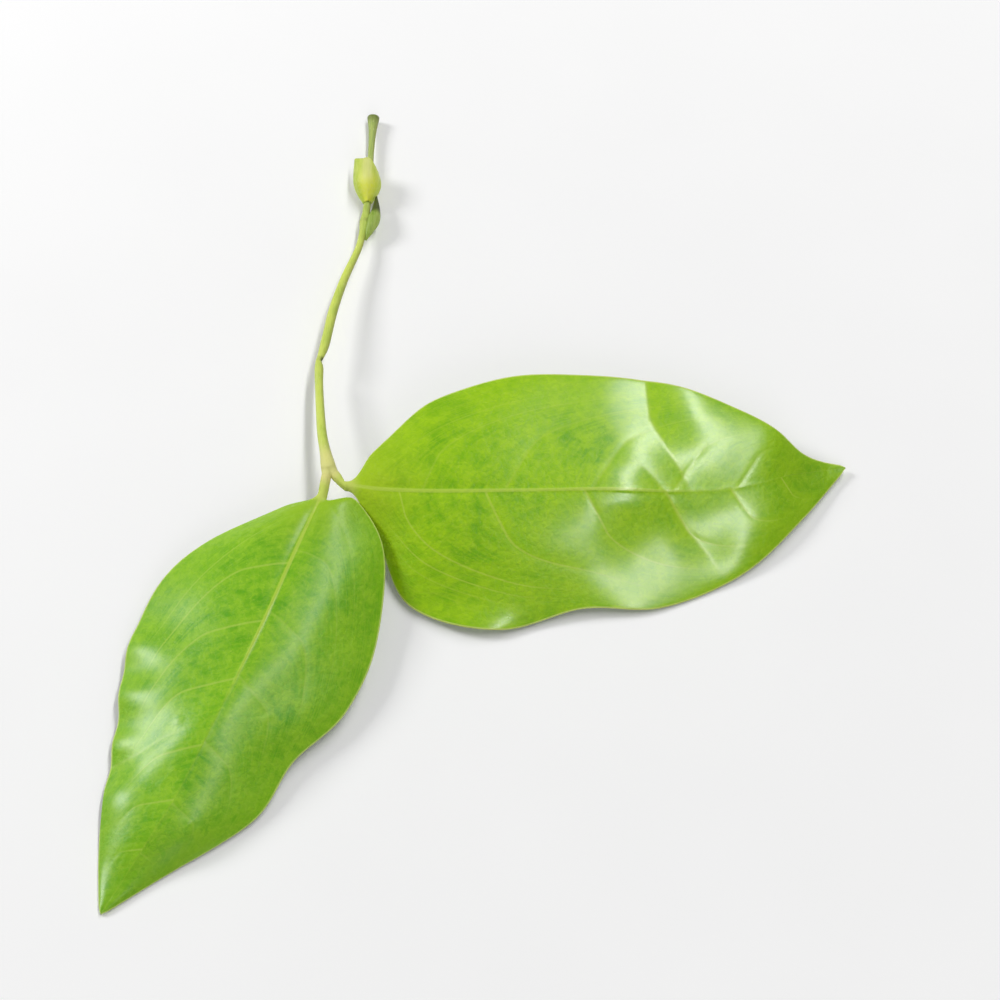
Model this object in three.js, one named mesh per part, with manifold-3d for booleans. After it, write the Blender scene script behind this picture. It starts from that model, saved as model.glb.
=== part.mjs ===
// A picked sprig of melinjo (Gnetum gnemon), lying on a table: a jointed green stem that ends in a pair of
// broad pointed leaves, with one small cupped leaf and one bud at the joint near its far end.
// Millimetres, +Z up. The table is the plane Z = 0, and +Y runs along the stem away from the leaf pair.

import * as THREE from "three";
import { mergeVertices } from "three/addons/utils/BufferGeometryUtils.js";
import Module from "manifold-3d";

// Plan position of the fork, where the stem meets the two leaf stalks. The origin is under the sprig's middle.
const FORK = [-42, 0.7];

// Gap between two parts that meet.
const JOINT_GAP = 0.3;

// Stem: plan position from the fork, height of the centre line, and radius.
// It tapers between its joints, swells at each joint, and flares where it was snapped off.
const STEM_STOPS = [
  { x: 0.3, y: -1.2, height: 11, radius: 1.1 },
  { x: 0, y: 0, height: 11, radius: 1.7 },
  { x: -1.2, y: 5, height: 10.5, radius: 1.45 },
  { x: -2.7, y: 12, height: 9.6, radius: 1.25 },
  { x: -4.5, y: 26, height: 7.9, radius: 1.1 },
  { x: -5.1, y: 34, height: 7.2, radius: 1.25 },
  { x: -4.6, y: 37, height: 7.1, radius: 1.35 },
  { x: -3.8, y: 44, height: 6.7, radius: 1.25 },
  { x: -2.8, y: 53, height: 6, radius: 1.25 },
  { x: -0.7, y: 64, height: 4.8, radius: 1.1 },
  { x: 2, y: 74, height: 3.8, radius: 0.95 },
  { x: 2.8, y: 80, height: 3.2, radius: 1 },
  { x: 3.1, y: 84, height: 3, radius: 1.35 },
  { x: 3.3, y: 88, height: 2.8, radius: 1.05 },
  { x: 3.4, y: 97, height: 2.4, radius: 0.85 },
  { x: 3.1, y: 109, height: 2, radius: 0.85 },
  { x: 3, y: 116, height: 1.9, radius: 1.1 },
  { x: 2.9, y: 121, height: 1.75, radius: 1.75 },
];
const STEM_RINGS = 64;
const STEM_SIDES = 14;

// Short arms of the fork that carry the leaf stalks.
const ARM_LENGTH = 3;
const ARM_ROOT_RADIUS = 1.35;
const STALK_RADIUS = 1.05;
const STALK_RINGS = 5;

// Blade: thickness in the middle and at the edge, and the midrib's keel under it.
const BLADE_THICKNESS = 0.6;
const EDGE_THICKNESS = 0.4;
const KEEL_DEPTH = 1.3;
const KEEL_HALF_WIDTH = 1.4;
const KEEL_TAPER = 0.8;
const STALK_BLEND = 0.1;
const BLADE_RINGS = 42;
const HALF_COLUMNS = 7;

// Each blade lies along its own heading from the point where its stalk ends.
// A guide point is [distance towards the tip, distance to the left of that line, height above the table].
const RIGHT_LEAF = {
  base: [4.7, -5.9],
  heading: 8,
  stalkHeading: -51,
  crown: 2.5,
  midrib: [
    [0, 0, 11.5],
    [13, -3.5, 13.3],
    [28, -6, 14.7],
    [45, -7.5, 15],
    [63, -8.5, 14.2],
    [82, -9, 11.2],
    [100, -7.5, 7.5],
    [116, -2.5, 3.8],
    [129, 0, 1.6],
  ],
  leftEdge: [
    [0, 1.1, 11.5],
    [10, 11, 12.6],
    [25, 22.5, 13],
    [45, 28.5, 13],
    [66, 27.5, 12.3],
    [86, 23.5, 11.4],
    [104, 14, 8.6],
    [117, 3.5, 4.2],
    [129, 0.5, 1.6],
  ],
  rightEdge: [
    [0, -1.1, 11.5],
    [7, -13, 5.6],
    [14, -31, 1.6],
    [36, -39, 0.4],
    [57, -36, 2.2],
    [77, -36.5, 0.4],
    [98, -29, 0.5],
    [115, -15, 1.2],
    [129, -0.5, 1.6],
  ],
};
const LEFT_LEAF = {
  base: [-0.8, -8.6],
  heading: -111.5,
  stalkHeading: -96,
  crown: 2.5,
  midrib: [
    [0, 0, 11],
    [11, 1, 12.6],
    [24, 2.2, 14],
    [40, 3.8, 14.5],
    [57, 4.5, 13.8],
    [75, 4.8, 11.8],
    [93, 4.2, 8.2],
    [109, 1.8, 3.6],
    [122, 0, 0.6],
  ],
  leftEdge: [
    [0, 1.1, 11],
    [-2, 9, 10.4],
    [8, 21, 8.2],
    [30, 29, 4.7],
    [51, 30.5, 3.9],
    [68, 24.5, 3],
    [85, 22.5, 1.4],
    [104, 11, 0.5],
    [122, 0.5, 0.6],
  ],
  rightEdge: [
    [0, -1.1, 11],
    [8, -10, 9],
    [22, -22, 6.7],
    [39, -28, 4.7],
    [57, -26.5, 3.5],
    [75, -20, 3],
    [92, -14.5, 2],
    [108, -8, 0.5],
    [122, -0.5, 0.6],
  ],
};

// Small cupped leaf: a scoop round the upper side of the stem, its wide open end towards the snapped end.
// Its foot and lip are points on its axis.
const SCOOP_FOOT = [3.3, 89.5, 2.8];
const SCOOP_LIP = [2.8, 103, 4.1];
const SCOOP_FOOT_RADIUS = 1.9;
const SCOOP_LIP_RADIUS = 3.85;
const SCOOP_SWELL = 0.6;
const SCOOP_WALL = 0.5;
const SCOOP_HALF_ANGLE = 110;
const SCOOP_RINGS = 12;
const SCOOP_COLUMNS = 12;

// Bud: a pointed drop beside the stem, from the joint towards the snapped end.
const BUD_STOPS = [
  { x: 4.9, y: 80, height: 3.2, radius: 0.3 },
  { x: 5.7, y: 83, height: 3.3, radius: 1.1 },
  { x: 6.2, y: 86.5, height: 3.3, radius: 1.45 },
  { x: 6.7, y: 90, height: 3.2, radius: 0.8 },
  { x: 7, y: 92.5, height: 3.1, radius: 0.2 },
];
const BUD_RINGS = 14;
const BUD_SIDES = 12;

const STEM_COLOR = 0xc6d67a;
const LEAF_COLOR = 0x8bb520;
const YOUNG_LEAF_COLOR = 0xcbd85b;
const BUD_COLOR = 0x9db552;

const wasm = await Module();
wasm.setup();

// A smooth curve through guide points.
function curveThrough(points) {
  const vectors = points.map((point) => new THREE.Vector3(...point));
  return new THREE.CatmullRomCurve3(vectors, false, "catmullrom");
}

// A horizontal unit vector at an angle in degrees from +X.
function directionAt(degrees) {
  const angle = THREE.MathUtils.degToRad(degrees);
  return new THREE.Vector3(Math.cos(angle), Math.sin(angle), 0);
}

// Joins a run of rings, each clockwise seen along the run, into one closed body with flat ends.
// The first half of a ring faces its second half, so an end is closed by a strip between the two.
function skin(rings) {
  const count = rings[0].length;
  const corners = rings.flat();
  const faces = [];
  for (let ring = 0; ring < rings.length - 1; ring += 1) {
    for (let side = 0; side < count; side += 1) {
      const here = ring * count + side;
      const beside = ring * count + ((side + 1) % count);
      faces.push(here, beside, beside + count);
      faces.push(here, beside + count, here + count);
    }
  }
  for (const first of [0, (rings.length - 1) * count]) {
    for (let side = 0; side < count / 2 - 1; side += 1) {
      const here = first + side;
      const across = first + count - 1 - side;
      const cap = [here, here + 1, across - 1, here, across - 1, across];
      faces.push(...(first === 0 ? cap.reverse() : cap));
    }
  }
  const geometry = new THREE.BufferGeometry().setFromPoints(corners);
  geometry.setIndex(faces);
  return geometry;
}

// A round ring about a centre, square to a direction.
function roundRing(centre, direction, radius, sides) {
  const across = new THREE.Vector3(0, 0, 1).cross(direction).normalize();
  const up = direction.clone().normalize().cross(across);
  const ring = [];
  for (let side = 0; side < sides; side += 1) {
    const angle = (2 * Math.PI * side) / sides;
    const point = centre.clone().addScaledVector(across, radius * Math.cos(angle));
    ring.push(point.addScaledVector(up, radius * Math.sin(angle)));
  }
  return ring;
}

// A round rod whose centre line and radius both run smoothly through a list of stops.
function taperedRod(stops, ringCount, sides) {
  const line = curveThrough(stops.map((stop) => [stop.x, stop.y, stop.height]));
  const width = curveThrough(stops.map((stop) => [stop.radius, 0, 0]));
  const rings = [];
  for (let ring = 0; ring <= ringCount; ring += 1) {
    const t = ring / ringCount;
    rings.push(roundRing(line.getPoint(t), line.getTangent(t), width.getPoint(t).x, sides));
  }
  return skin(rings);
}

// One arm of the fork, from the stem's middle to just short of a leaf stalk.
function forkArm(heading) {
  const direction = directionAt(heading);
  const root = new THREE.Vector3(0, 0, STEM_STOPS[1].height);
  const end = root.clone().addScaledVector(direction, ARM_LENGTH);
  const rootRing = roundRing(root, direction, ARM_ROOT_RADIUS, STEM_SIDES);
  return skin([rootRing, roundRing(end, direction, STALK_RADIUS, STEM_SIDES)]);
}

// A geometry as a solid that can be joined to another.
function solidOf(geometry) {
  const merged = mergeVertices(geometry);
  const vertProperties = merged.attributes.position.array;
  const triVerts = new Uint32Array(merged.index.array);
  return new wasm.Manifold(new wasm.Mesh({ numProp: 3, vertProperties, triVerts }));
}

// A joined solid as a geometry.
function geometryOf(solid) {
  const { vertProperties, triVerts } = solid.getMesh();
  const geometry = new THREE.BufferGeometry();
  geometry.setAttribute("position", new THREE.BufferAttribute(vertProperties, 3));
  geometry.setIndex(new THREE.BufferAttribute(triVerts, 1));
  return geometry;
}

function stemGeometry() {
  let stem = solidOf(taperedRod(STEM_STOPS, STEM_RINGS, STEM_SIDES));
  for (const leaf of [RIGHT_LEAF, LEFT_LEAF]) {
    stem = stem.add(solidOf(forkArm(leaf.stalkHeading)));
  }
  return geometryOf(stem);
}

// Columns of a leaf ring from left to right: -1 is the left edge, 0 the midrib, 1 the right edge.
// The two columns beside the midrib stay where its keel ends, however wide the blade is.
function columnShares(halfWidth) {
  const keel = Math.min(0.5, KEEL_HALF_WIDTH / halfWidth);
  const shares = [];
  for (let column = -HALF_COLUMNS; column <= HALF_COLUMNS; column += 1) {
    const steps = Math.abs(column) - 1;
    const share = steps < 0 ? 0 : keel + ((1 - keel) * steps) / (HALF_COLUMNS - 1);
    shares.push(Math.sign(column) * share);
  }
  return shares;
}

// A flat lens across the blade at t, from 0 at the stalk to 1 at the tip.
function bladeRing(leaf, guides, t) {
  const midrib = guides.midrib.getPoint(t);
  const edges = { left: guides.leftEdge.getPoint(t), right: guides.rightEdge.getPoint(t) };
  const halfWidth = edges.left.distanceTo(edges.right) / 2;
  const upper = [];
  const lower = [];
  for (const share of columnShares(halfWidth)) {
    const across = Math.abs(share);
    const point = midrib.clone().lerp(share < 0 ? edges.left : edges.right, across);
    point.z += leaf.crown * 4 * across * (1 - across) * Math.sin(Math.PI * t) ** 0.7;
    const half = THREE.MathUtils.lerp(BLADE_THICKNESS, EDGE_THICKNESS, across) / 2;
    const keel = share === 0 ? KEEL_DEPTH * (1 - KEEL_TAPER * t) : 0;
    upper.push(point.clone().setZ(point.z + half));
    lower.unshift(point.clone().setZ(point.z - half - keel));
  }
  return [...upper, ...lower];
}

// A round ring with the same points as a blade ring, square to a horizontal heading.
function stalkRing(centre, heading) {
  const right = directionAt(heading - 90);
  const ring = [];
  for (const side of [1, -1]) {
    for (let column = -HALF_COLUMNS; column <= HALF_COLUMNS; column += 1) {
      const angle = (side * column * (Math.PI / 2)) / (HALF_COLUMNS + 0.5);
      const point = centre.clone().addScaledVector(right, STALK_RADIUS * Math.sin(angle));
      point.z += side * STALK_RADIUS * Math.cos(angle);
      ring.push(point);
    }
  }
  return ring;
}

// Stalk, blade and midrib in one body. The stalk turns from the fork's arm to the blade's heading.
function leafGeometry(leaf) {
  const guides = {
    midrib: curveThrough(leaf.midrib),
    leftEdge: curveThrough(leaf.leftEdge),
    rightEdge: curveThrough(leaf.rightEdge),
  };
  const turn = leaf.stalkHeading - leaf.heading;
  const base = new THREE.Vector3(...leaf.midrib[0]);
  const foot = directionAt(leaf.stalkHeading).multiplyScalar(ARM_LENGTH + JOINT_GAP);
  foot.sub(new THREE.Vector3(...leaf.base, -STEM_STOPS[1].height));
  foot.applyAxisAngle(new THREE.Vector3(0, 0, 1), -THREE.MathUtils.degToRad(leaf.heading));
  const bend = foot.clone().addScaledVector(directionAt(turn), foot.distanceTo(base) / 2);
  const stalk = new THREE.QuadraticBezierCurve3(foot, bend, base);
  const rings = [];
  for (let ring = 0; ring < STALK_RINGS; ring += 1) {
    const t = ring / STALK_RINGS;
    rings.push(stalkRing(stalk.getPoint(t), turn * (1 - t)));
  }
  for (let ring = 0; ring <= BLADE_RINGS; ring += 1) {
    const t = ring / BLADE_RINGS;
    const flat = bladeRing(leaf, guides, t);
    const round = stalkRing(guides.midrib.getPoint(t), 0);
    const roundness = Math.max(0, 1 - t / STALK_BLEND) ** 2;
    rings.push(flat.map((point, i) => point.lerp(round[i], roundness)));
  }
  return skin(rings);
}

// A curved wall open below: out along its outer face and back along its inner face, at each step of its axis.
function youngLeafGeometry() {
  const foot = new THREE.Vector3(...SCOOP_FOOT);
  const lip = new THREE.Vector3(...SCOOP_LIP);
  const along = lip.clone().sub(foot).normalize();
  const right = along.clone().cross(new THREE.Vector3(0, 0, 1)).normalize();
  const up = right.clone().cross(along);
  const rings = [];
  for (let ring = 0; ring <= SCOOP_RINGS; ring += 1) {
    const t = ring / SCOOP_RINGS;
    const centre = foot.clone().lerp(lip, t);
    const outer = THREE.MathUtils.lerp(SCOOP_FOOT_RADIUS, SCOOP_LIP_RADIUS, t ** SCOOP_SWELL);
    const points = [];
    for (const side of [1, -1]) {
      const radius = side > 0 ? outer : outer - SCOOP_WALL;
      for (let column = 0; column <= SCOOP_COLUMNS; column += 1) {
        const share = side * ((2 * column) / SCOOP_COLUMNS - 1);
        const angle = THREE.MathUtils.degToRad(SCOOP_HALF_ANGLE * share);
        const point = centre.clone().addScaledVector(right, radius * Math.sin(angle));
        points.push(point.addScaledVector(up, radius * Math.cos(angle)));
      }
    }
    rings.push(points);
  }
  return skin(rings);
}

function budGeometry() {
  return taperedRod(BUD_STOPS, BUD_RINGS, BUD_SIDES);
}

function namedMesh(name, geometry, color, roughness) {
  geometry.computeVertexNormals();
  const material = new THREE.MeshStandardMaterial({ color, roughness, metalness: 0 });
  const mesh = new THREE.Mesh(geometry, material);
  mesh.name = name;
  return mesh;
}

function leafMesh(name, leaf) {
  const mesh = namedMesh(name, leafGeometry(leaf), LEAF_COLOR, 0.4);
  mesh.position.set(...leaf.base, 0);
  mesh.rotation.z = THREE.MathUtils.degToRad(leaf.heading);
  return mesh;
}

const sprig = new THREE.Group();
sprig.position.set(...FORK, 0);
sprig.add(
  namedMesh("stem", stemGeometry(), STEM_COLOR, 0.5),
  leafMesh("leaf_right", RIGHT_LEAF),
  leafMesh("leaf_left", LEFT_LEAF),
  namedMesh("young_leaf", youngLeafGeometry(), YOUNG_LEAF_COLOR, 0.5),
  namedMesh("bud", budGeometry(), BUD_COLOR, 0.5),
);

export default sprig;
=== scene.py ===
import math

import bpy
import numpy as np
from mathutils import Matrix, Vector


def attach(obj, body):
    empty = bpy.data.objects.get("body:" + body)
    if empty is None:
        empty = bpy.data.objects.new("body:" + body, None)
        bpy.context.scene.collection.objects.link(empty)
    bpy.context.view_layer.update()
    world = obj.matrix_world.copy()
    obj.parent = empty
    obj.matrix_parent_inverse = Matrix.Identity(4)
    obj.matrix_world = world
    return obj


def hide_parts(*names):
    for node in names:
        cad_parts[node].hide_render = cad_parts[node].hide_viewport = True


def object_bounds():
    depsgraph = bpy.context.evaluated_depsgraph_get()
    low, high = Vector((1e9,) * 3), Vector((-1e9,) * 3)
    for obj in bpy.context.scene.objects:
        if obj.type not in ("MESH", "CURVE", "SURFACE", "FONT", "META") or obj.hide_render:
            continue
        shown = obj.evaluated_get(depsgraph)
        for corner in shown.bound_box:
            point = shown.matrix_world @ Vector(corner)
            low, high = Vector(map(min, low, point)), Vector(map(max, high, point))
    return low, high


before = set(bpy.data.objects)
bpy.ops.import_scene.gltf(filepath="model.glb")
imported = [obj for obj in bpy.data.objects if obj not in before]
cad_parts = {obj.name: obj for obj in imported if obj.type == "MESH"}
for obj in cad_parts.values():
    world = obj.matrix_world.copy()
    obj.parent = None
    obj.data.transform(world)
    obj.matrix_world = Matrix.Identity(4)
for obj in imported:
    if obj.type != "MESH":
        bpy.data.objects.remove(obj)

# A picked sprig of melinjo lying on a pale table: a jointed stem, its pair of broad leaves, a cupped young
# leaf and a bud. Shapes are worked out in millimetres and scaled to metres when a mesh is made.

MM = 0.001
CAD_LOW, CAD_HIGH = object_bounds()
CLEAR_OF_TABLE = 0.05

# Plan position of the fork, where the stem meets the two leaf stalks.
FORK = np.array([-42.0, 0.7, 0.0])

# Stem: plan position from the fork, height of the centre line, radius.
STEM_STOPS = [
    (0.3, -1.4, 11, 1.5),
    (0, 0, 11, 1.95),
    (-1.2, 5, 10.5, 1.45),
    (-2.7, 12, 9.6, 1.25),
    (-4.5, 26, 7.9, 1.1),
    (-5.1, 34, 7.2, 1.25),
    (-4.6, 37, 7.1, 1.35),
    (-3.8, 44, 6.7, 1.25),
    (-2.8, 53, 6, 1.25),
    (-0.7, 64, 4.8, 1.1),
    (2, 74, 3.8, 0.95),
    (2.8, 80, 3.2, 1),
    (3.1, 84, 3, 1.35),
    (3.3, 88, 2.8, 1.05),
    (3.4, 97, 2.4, 0.85),
    (3.1, 109, 2, 0.85),
    (3, 116, 1.9, 1.1),
    (2.9, 121, 1.75, 1.72),
]
FORK_HEIGHT = 11
ARM_LENGTH = 3
ARM_OVERLAP = 0.3
ARM_ROOT_RADIUS = 1.9
STALK_RADIUS = 1.28

# Each blade lies along its own heading from the point where its stalk ends. A guide point is
# (distance towards the tip, distance to the left of that line, height above the table).
# vein_starts says where the side veins leave the midrib, on the left and on the right. The midrib fades over
# rib_fades, pillow is how deep the blade sinks at the side veins, and swell is the height of its slow waves.
# far_veins is how clearly side veins show on the left. crown lifts each half of a blade between midrib and
# edge, and flatter is the share of that lost towards the tip.
# A crease is a fold line through (distance along, distance across) points, with its depth at both ends and
# how far it spreads towards the stalk and towards the tip. Across is negative on the left of the midrib.
# A mound is (distance along, distance across, rise, reach along, reach across); a hollow has a negative rise.
RIGHT_LEAF = {
    "base": (4.7, -5.9),
    "heading": 8,
    "stalk_heading": -51,
    "crown": 2.5,
    "midrib": [
        (0, 0, 11.5), (13, -3.5, 13.3), (28, -6, 14.7), (45, -7.5, 15), (63, -8.5, 14.2),
        (82, -9, 11.2), (100, -7.5, 7.5), (116, -2.5, 3.8), (129, 0, 1.6),
    ],
    "left_edge": [
        (0, 1.1, 11.5), (10, 11, 12.6), (25, 22.5, 13), (45, 28.5, 13), (66, 27.5, 12.3),
        (86, 23.5, 11.4), (104, 14, 8.6), (117, 3.5, 4.2), (129, 0.5, 1.6),
    ],
    "right_edge": [
        (0, -1.1, 11.5), (7, -13, 5.6), (14, -31, 1.6), (36, -39, 0.4), (57, -36, 2.2),
        (77, -36.5, 0.4), (98, -29, 0.5), (115, -15, 1.2), (129, -0.5, 1.6),
    ],
    "rib_fades": (70, 100),
    "far_veins": 0.28,
    "vein_starts": ([5, 20, 41, 63, 84, 101, 114], [3, 14, 36, 61, 82, 99, 113]),
    "pillow": 0.04,
    "flatter": 0.8,
    "swell": 0.2,
    "seed": 4,
    "creases": [
        {
            "path": [(76, -46), (77, -34), (78, -21), (82, -12), (87, -3), (90, 4)],
            "depth": (1.0, 0.3), "before": 11, "after": 10,
        },
        {
            "path": [(73, -10), (79, -3), (83, 2), (88, 10), (94, 17), (98, 24)],
            "depth": (0.7, 0.4), "before": 9, "after": 11,
        },
    ],
    "mounds": [
        (77, -8, 1.5, 16, 18),
        (112, -3, 1.0, 9, 20),
        (93, -14, 0.9, 8, 10),
        (109, -12, 2.4, 11, 12),
        (99, -14, 0.5, 6, 10),
        (89, -20, 0.65, 10, 10),
        (76, 14, -0.9, 9, 11),
        (109, 11, 1.4, 14, 9),
        (104, 20, 0.7, 9, 9),
        (40, 42, 4.8, 9, 9),
        (77, 40, 1.6, 15, 12),
        (26, -28, 0.9, 9, 9),
    ],
    "blisters": [],
}
LEFT_LEAF = {
    "base": (-0.8, -8.6),
    "heading": -111.5,
    "stalk_heading": -96,
    "crown": 2.5,
    "midrib": [
        (0, 0, 11), (11, 1, 12.6), (24, 2.2, 14), (40, 3.8, 14.5), (57, 4.5, 13.8),
        (75, 4.8, 11.8), (93, 4.2, 8.2), (109, 1.8, 3.6), (122, 0, 0.6),
    ],
    "left_edge": [
        (0, 1.1, 11), (-2, 9, 10.4), (8, 21, 8.2), (30, 29, 4.7), (51, 30.5, 3.9),
        (68, 24.5, 3), (85, 22.5, 1.4), (104, 11, 0.5), (122, 0.5, 0.6),
    ],
    "right_edge": [
        (0, -1.1, 11), (8, -10, 9), (22, -22, 6.7), (39, -28, 4.7), (57, -26.5, 3.5),
        (75, -20, 3), (92, -14.5, 2), (108, -8, 0.5), (122, -0.5, 0.6),
    ],
    "rib_fades": (48, 66),
    "far_veins": 0.32,
    "vein_starts": ([4, 19, 38, 57, 76, 93, 107], [7, 23, 41, 58, 77, 92, 106]),
    "pillow": 0.04,
    "flatter": 0.3,
    "swell": 0.6,
    "seed": 11,
    "creases": [
        {
            "path": [(72, 3), (78, 11), (84, 16), (89, 22), (92, 32)],
            "depth": (0.3, 0.3), "before": 6, "after": 10,
        },
    ],
    "mounds": [
        (56, 31, 0.9, 5, 9),
        (63, 30, -0.7, 5, 9),
        (69, 29, 0.8, 5, 8),
        (76, 27, -0.6, 5, 8),
        (82, 24, 0.8, 5, 8),
        (89, 22, -0.5, 5, 7),
        (97, 13, 0.6, 6, 7),
        (14, -20, 0.3, 10, 9),
        (46, -22, 0.8, 8, 12),
        (101, -9, 0.6, 7, 6),
        (60, -12, -0.4, 9, 9),
    ],
    "blisters": [(85, 4), (89, 5), (98, -7), (73, 9), (66, -12)],
}

# Blade section: half thickness, least height over the table, height under which hollows fade, and the keel
# and the raised veins of the under face. An ease is how sharply one slope takes over from another.
BLADE_HALF_THICKNESS = 0.17
EDGE_HALF_THICKNESS = 0.02
LEAST_HEIGHT = 0.2
FLOOR_EASE = 8
SETTLING = 3
KEEL_DEPTH, KEEL_TAPER, KEEL_WIDTH = 1.2, 0.8, 0.85
UNDER_VEIN_HEIGHT, UNDER_VEIN_WIDTH = 0.16, 0.45

# Side veins: slant towards the tip, and how far out and how strongly they bend forward. The loops that join
# them run near the edge, each with a dip.
VEIN_SLANT, VEIN_BEND, VEIN_SWEEP = 0.62, 0.36, 4.5
WIDEST_PITCH = 60
SPARE_VEINS = 12
LOOP_PLACE, LOOP_DIP, LOOP_LENGTH = 0.82, 0.07, 17

# Relief of the upper face: the midrib's groove and the ridge in it, veins, panels, blisters, folds, waves.
GROOVE_DEPTH, GROOVE_WIDTH = 0.32, 2.1
RIDGE_HEIGHT, RIDGE_WIDTH = 0.2, 0.6
VEIN_DEPTH, VEIN_WIDTH = 0.04, 0.6
PANEL_WIDTH, PANELS_FADE = 2.4, (108, 84)
BLISTER_HEIGHT, BLISTER_WIDTH = 0.1, 1.1
VALLEY_EASE = 6
FOLD_WIDTH, FOLD_END = 0.5, 8
SWELL_WAVES, SWELL_LENGTHS = 7, (13, 34)

# Mesh of a leaf, and the shares of its length over which the stalk flattens out and the tip comes to a point.
STALK_BLEND = 0.1
TIP_SHARE = 0.012
BLADE_ROWS = 290
STALK_ROWS = 16
UPPER_COLUMNS = 140
LOWER_COLUMNS = 100

# Finishes: size of the veinlet meshes, where a blade takes the stalk's and the fork's tones, wax left at
# grazing angles.
MESH_SIZE = 2.6
STALK_BLENDS = (0.25, 0.8)
FORK_BLENDS = (-1.5, -5.5)
WAX_AT_GRAZING = 0.12

# Where the camera stands and what it looks at, and the lens. It sees the sprig from 58 degrees above.
CAMERA_PLACE = (0.0233, -0.4475, 0.7139)
CAMERA_AIM = (0.002, -0.004, 0.006)
CAMERA_LENS = 118

# Table and light, in metres and watts. A panel is (name, place, width, length, power).
TABLE_SIZE = 3.0
TABLE_TONES = [(0.92, 0.92, 0.92, 1), (0.95, 0.95, 0.95, 1)]
BLACK, WHITE = (0, 0, 0, 1), (1, 1, 1, 1)
WORLD_LEVEL = 0.16
LIGHT_PANELS = [
    ("window_panel", (-1.15, 0.42, 0.75), 0.4, 0.4, 10),
    ("sheen_panel", (0.44, 0.5, 1.33), 0.12, 2.1, 13.7),
    ("front_panel", (0.2, -1.25, 0.8), 0.8, 0.8, 3),
]


# ---- curves and masks

def smooth_curve(points, t):
    """Points of a smooth curve through evenly spaced guide points, at each t from 0 to 1."""
    guides = np.asarray(points, float)
    padded = np.vstack([2 * guides[0] - guides[1], guides, 2 * guides[-1] - guides[-2]])
    position = np.clip(t, 0, 1) * (len(guides) - 1)
    span = np.minimum(position.astype(int), len(guides) - 2)
    f = (position - span)[:, None]
    a, b, c, d = (padded[span + i] for i in range(4))
    return 0.5 * (2 * b + (c - a) * f + (2 * a - 5 * b + 4 * c - d) * f**2 + (3 * b - a - 3 * c + d) * f**3)


def ramp(value, low, high):
    """A smooth step from 0 at low to 1 at high; low may be above high."""
    share = np.clip((value - low) / (high - low), 0, 1)
    return share * share * (3 - 2 * share)


def bell(distance, width):
    return np.exp(-((distance / width) ** 2))


def unit(vectors):
    return vectors / np.maximum(np.linalg.norm(vectors, axis=-1, keepdims=True), 1e-9)


def flat_direction(degrees):
    return np.array([math.cos(math.radians(degrees)), math.sin(math.radians(degrees)), 0.0])


# ---- meshes made from rings

def deselect_all():
    if bpy.context.object and bpy.context.object.mode != "OBJECT":
        bpy.ops.object.mode_set(mode="OBJECT")
    bpy.ops.object.select_all(action="DESELECT")


def select_only(piece):
    deselect_all()
    piece.select_set(True)
    bpy.context.view_layer.objects.active = piece


def to_frame(points):
    """Millimetres from the fork to metres in the sprig's frame, held inside the solid model's box."""
    placed = (points + FORK) * MM
    floor = np.array([CAD_LOW.x, CAD_LOW.y, CLEAR_OF_TABLE * MM])
    return np.clip(placed, floor, np.array(CAD_HIGH))


def ring_piece(name, rings, facts=None, under=None):
    """A grid primitive whose rows become closed rings. The last column repeats the first and is merged.

    rings is rows x columns x 3 in millimetres from the fork; facts holds named per-corner attributes, and
    under is the first and last column of faces that take the second material.
    """
    rows, columns = rings.shape[:2]
    deselect_all()
    bpy.ops.mesh.primitive_grid_add(x_subdivisions=columns - 1, y_subdivisions=rows - 1, size=1)
    piece = bpy.context.object
    piece.name = name
    mesh = piece.data
    mesh.name = name
    mesh.vertices.foreach_set("co", to_frame(rings).reshape(-1))
    for label, values in (facts or {}).items():
        attribute = mesh.attributes.new(label, "FLOAT_VECTOR", "POINT")
        attribute.data.foreach_set("vector", np.ascontiguousarray(values, np.float32).reshape(-1))
    if under:
        index = np.zeros((rows - 1, columns - 1), np.int32)
        index[:, under[0]:under[1]] = 1
        mesh.polygons.foreach_set("material_index", index.reshape(-1))
    mesh.update()
    close_ends(piece)
    return piece


def close_ends(piece):
    """Merges the seam, fills both open ends and turns every face outwards."""
    select_only(piece)
    bpy.ops.object.mode_set(mode="EDIT")
    bpy.ops.mesh.select_all(action="SELECT")
    bpy.ops.mesh.remove_doubles(threshold=1e-7)
    bpy.ops.mesh.fill_holes(sides=0)
    bpy.ops.mesh.select_all(action="SELECT")
    bpy.ops.mesh.normals_make_consistent(inside=False)
    bpy.ops.object.mode_set(mode="OBJECT")
    bpy.ops.object.shade_smooth()


def round_rings(centres, radii, sides):
    """Rings square to a centre line, each clockwise seen along it, with the first point repeated."""
    along = unit(np.gradient(centres, axis=0))
    across = unit(np.cross([0, 0, 1], along))
    up = np.cross(along, across)
    angle = np.linspace(0, 2 * np.pi, sides + 1)[None, :, None]
    spread = across[:, None] * np.cos(angle) + up[:, None] * np.sin(angle)
    return centres[:, None] + radii[:, None, None] * spread


# ---- leaves

def blade_surface(leaf, t, share):
    """Middle surface of a blade: t runs from stalk to tip, share from -1 (left edge) to 1 (right edge)."""
    midrib = smooth_curve(leaf["midrib"], t)[:, None]
    left = smooth_curve(leaf["left_edge"], t)[:, None]
    right = smooth_curve(leaf["right_edge"], t)[:, None]
    across = np.abs(share)[None, :, None]
    pointed = np.sqrt(np.clip((1 - t) / TIP_SHARE, 0.03, 1))[:, None, None]
    surface = midrib + (np.where(share[None, :, None] < 0, left, right) - midrib) * across * pointed
    rise = leaf["crown"] * np.sin(np.pi * t) ** 0.7 * (1 - leaf["flatter"] * ramp(t, 0.25, 0.55))
    surface[..., 2] += 4 * across[..., 0] * (1 - across[..., 0]) * rise[:, None]
    return surface


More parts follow.
